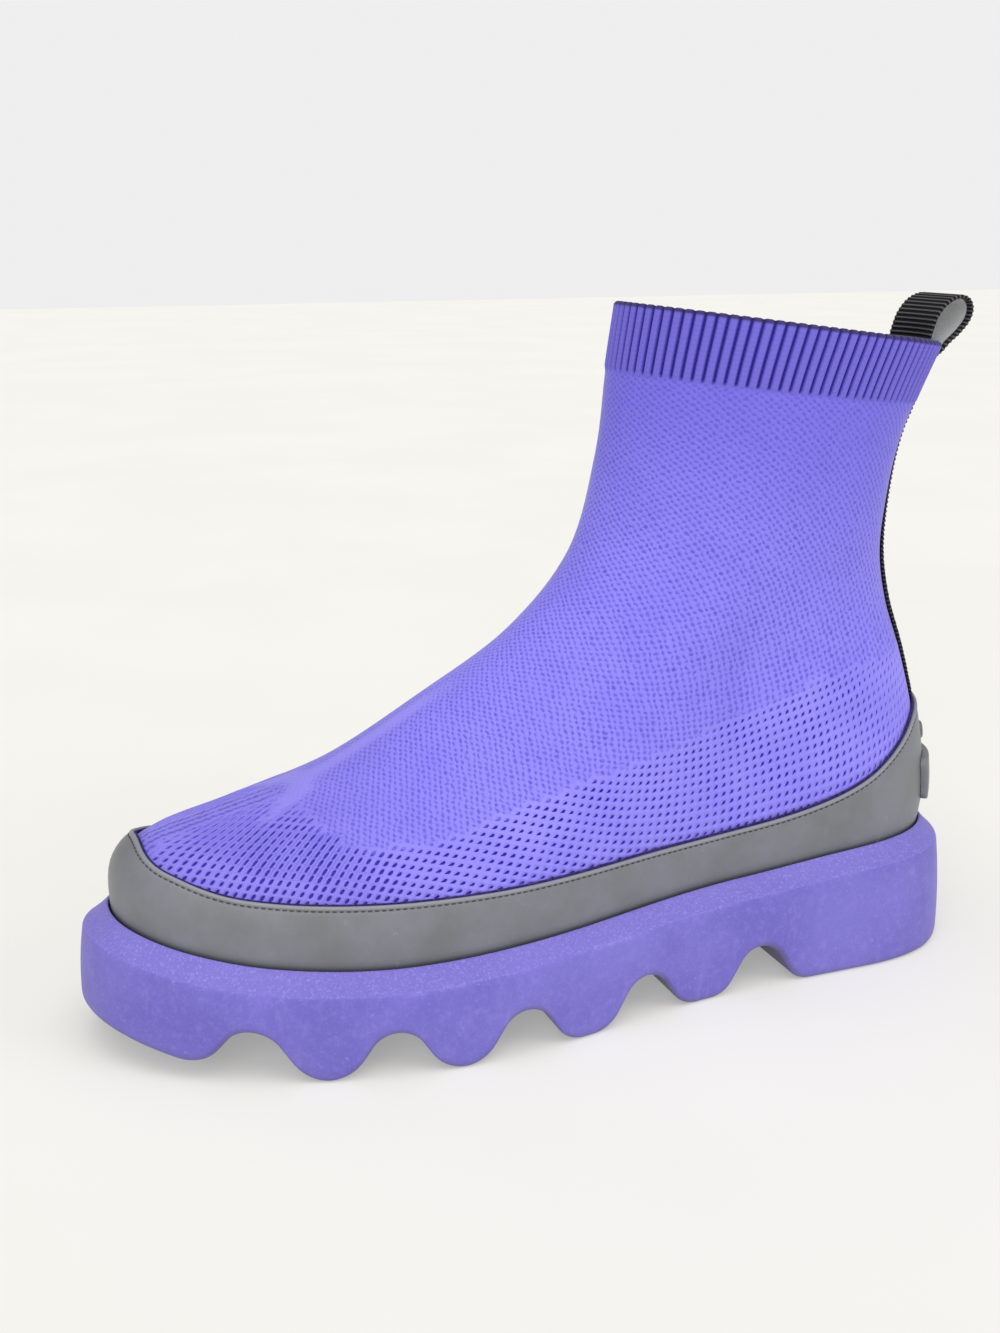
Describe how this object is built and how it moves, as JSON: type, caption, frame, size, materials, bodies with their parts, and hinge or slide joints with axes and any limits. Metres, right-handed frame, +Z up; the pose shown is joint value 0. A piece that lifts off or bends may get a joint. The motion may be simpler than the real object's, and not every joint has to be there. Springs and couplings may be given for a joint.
{
  "type": "knit ankle boot",
  "caption": "Pull-on knit ankle boot with a ribbed cuff, rear pull loop, coated rand and thick foam platform sole with a wavy tread.",
  "frame": {"origin": "on the floor, under the middle of the boot's bounding box", "axes": "+X toward the toe, +Y toward the outer side of the left foot, +Z up"},
  "size_m": [0.2878, 0.1058, 0.2112],
  "materials": {
    "sole_foam": "matte moulded foam",
    "insole_cloth": "brushed cloth",
    "knit": "knitted, ribbed at the cuff",
    "rand_coating": "satin coated",
    "heel_tab_coating": "satin coated",
    "tape": "ribbed woven tape",
    "loop_tape": "ribbed woven tape"
  },
  "bodies": {
    "root": {"sole": "sole_foam", "insole": "insole_cloth", "upper": "knit", "rand": "rand_coating", "heel_tab": "heel_tab_coating", "back_tape": "tape", "pull_loop": "loop_tape"}
  },
  "joints": []
}
